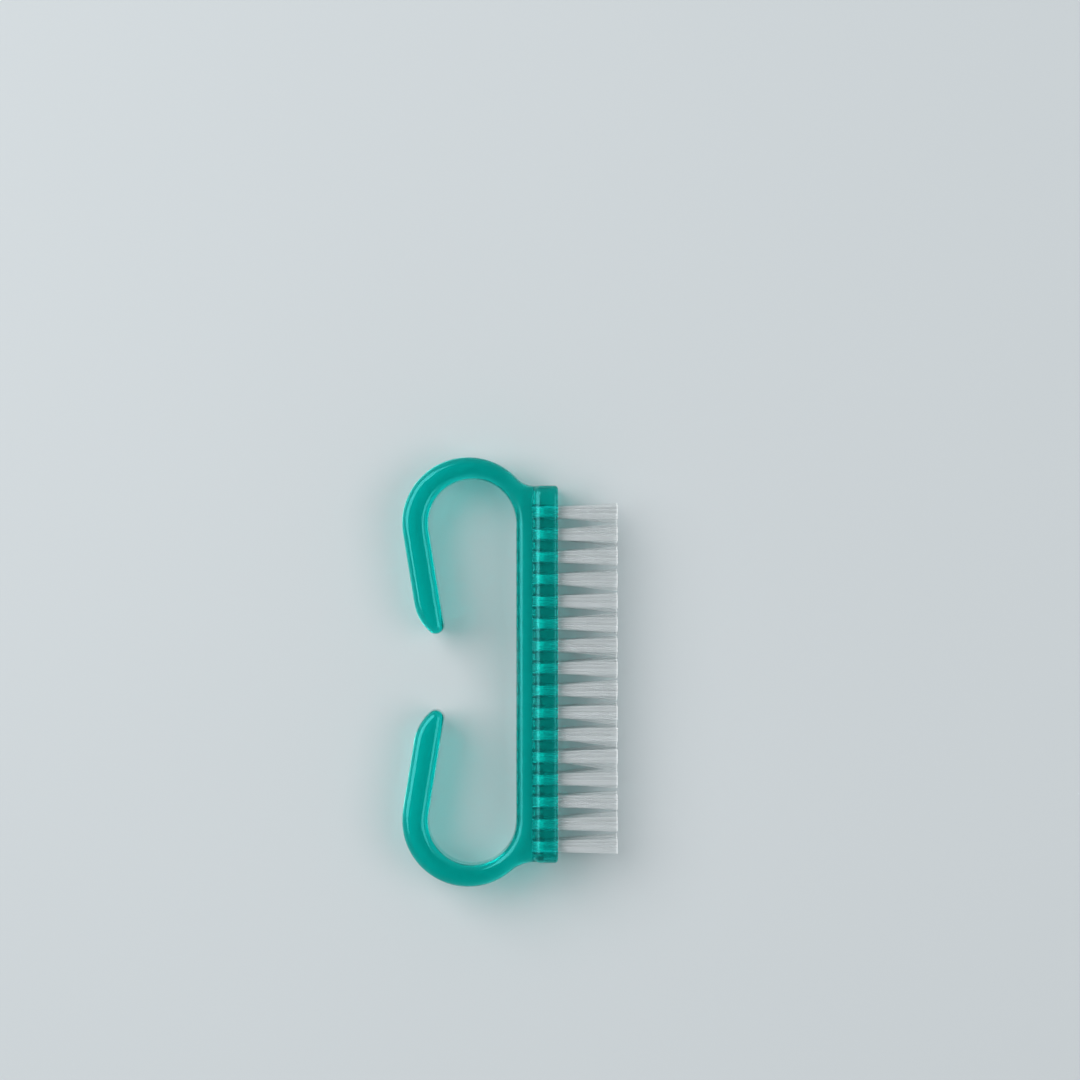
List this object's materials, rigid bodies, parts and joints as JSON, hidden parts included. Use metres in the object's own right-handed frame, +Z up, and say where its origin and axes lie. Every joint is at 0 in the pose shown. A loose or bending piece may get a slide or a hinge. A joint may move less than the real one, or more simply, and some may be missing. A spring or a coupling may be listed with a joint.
{
  "type": "nail brush",
  "caption": "Small hand nail brush: one translucent teal moulding with two open finger hooks behind a straight head, and rows of white nylon tufts trimmed level.",
  "frame": {"origin": "on the surface that the brush lies on, under the middle of its outline", "axes": "+Z up from the side that it lies on, across the brush; +Y along the brush, from the end with the narrower tuft margin to the end with the wider one; +X from the finger hooks to the bristle tips"},
  "size_m": [0.0352, 0.07, 0.012],
  "materials": {
    "teal_plastic": "translucent teal injection-moulded plastic, glossy from a polished mould",
    "white_nylon": "clear white nylon filament, satin, cut square at the tips",
    "anchor_wire": "drawn flat wire, plain bright metal"
  },
  "bodies": {
    "root": {"brush_body": "teal_plastic", "tuft_bottom_01": "white_nylon", "tuft_bottom_02": "white_nylon", "tuft_bottom_03": "white_nylon", "tuft_bottom_04": "white_nylon", "tuft_bottom_05": "white_nylon", "tuft_bottom_06": "white_nylon", "tuft_bottom_07": "white_nylon", "tuft_bottom_08": "white_nylon", "tuft_bottom_09": "white_nylon", "tuft_bottom_10": "white_nylon", "tuft_bottom_11": "white_nylon", "tuft_bottom_12": "white_nylon", "tuft_bottom_13": "white_nylon", "tuft_bottom_14": "white_nylon", "tuft_bottom_15": "white_nylon", "tuft_bottom_16": "white_nylon", "tuft_middle_01": "white_nylon", "tuft_middle_02": "white_nylon", "tuft_middle_03": "white_nylon", "tuft_middle_04": "white_nylon", "tuft_middle_05": "white_nylon", "tuft_middle_06": "white_nylon", "tuft_middle_07": "white_nylon", "tuft_middle_08": "white_nylon", "tuft_middle_09": "white_nylon", "tuft_middle_10": "white_nylon", "tuft_middle_11": "white_nylon", "tuft_middle_12": "white_nylon", "tuft_middle_13": "white_nylon", "tuft_middle_14": "white_nylon", "tuft_middle_15": "white_nylon", "tuft_middle_16": "white_nylon", "tuft_top_01": "white_nylon", "tuft_top_02": "white_nylon", "tuft_top_03": "white_nylon", "tuft_top_04": "white_nylon", "tuft_top_05": "white_nylon", "tuft_top_06": "white_nylon", "tuft_top_07": "white_nylon", "tuft_top_08": "white_nylon", "tuft_top_09": "white_nylon", "tuft_top_10": "white_nylon", "tuft_top_11": "white_nylon", "tuft_top_12": "white_nylon", "tuft_top_13": "white_nylon", "tuft_top_14": "white_nylon", "tuft_top_15": "white_nylon", "tuft_top_16": "white_nylon", "anchors_bottom_row": "anchor_wire", "anchors_middle_row": "anchor_wire", "anchors_top_row": "anchor_wire"}
  },
  "joints": []
}
